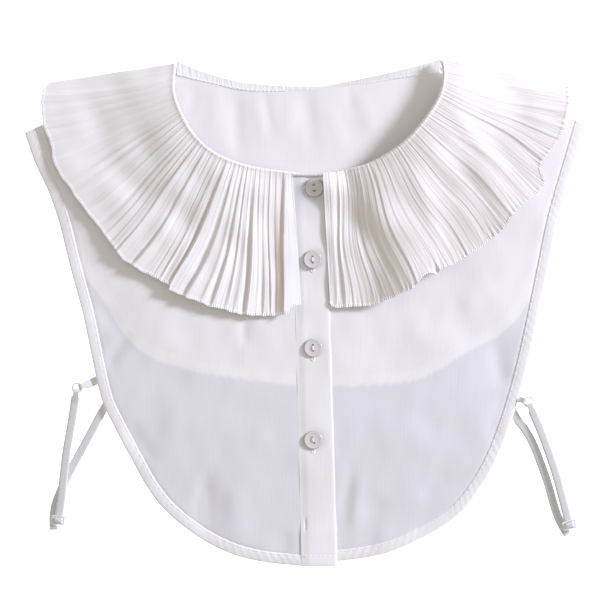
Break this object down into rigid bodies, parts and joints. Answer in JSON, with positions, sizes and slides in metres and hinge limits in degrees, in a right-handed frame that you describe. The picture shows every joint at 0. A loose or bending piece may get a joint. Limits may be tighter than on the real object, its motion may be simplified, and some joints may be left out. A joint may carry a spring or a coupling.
{
  "type": "detachable false collar with pleated ruffle",
  "caption": "half blouse front and back in thin white cloth with a pleated ruffle collar, buttoned placket and adjustable elastic side straps, laid flat",
  "frame": {"origin": "middle of the bounding box, on the table the garment lies on", "axes": "+X across towards the wearer's left front, +Y up from the hem to the neck, +Z up from the table"},
  "size_m": [0.364, 0.3288, 0.0193],
  "materials": {
    "cloth": "sheer white woven cloth, matt with a slight sheen",
    "elastic": "light grey-white ribbed elastic",
    "button": "translucent pearly plastic",
    "fitting": "smooth white plastic"
  },
  "bodies": {
    "root": {"back": "cloth", "back_neck_stand": "cloth", "button_1": "button", "button_2": "button", "button_3": "button", "button_4": "button", "front_left": "cloth", "front_right": "cloth", "neck_edge_left": "cloth", "neck_edge_right": "cloth", "placket": "cloth", "ring_left": "fitting", "ring_right": "fitting", "ruffle_back": "cloth", "ruffle_left": "cloth", "ruffle_right": "cloth", "slider_left": "fitting", "slider_right": "fitting", "strap_lead_left": "elastic", "strap_lead_right": "elastic", "strap_loop_left": "elastic", "strap_loop_right": "elastic", "strap_tab_left": "elastic", "strap_tab_right": "elastic"}
  },
  "joints": []
}
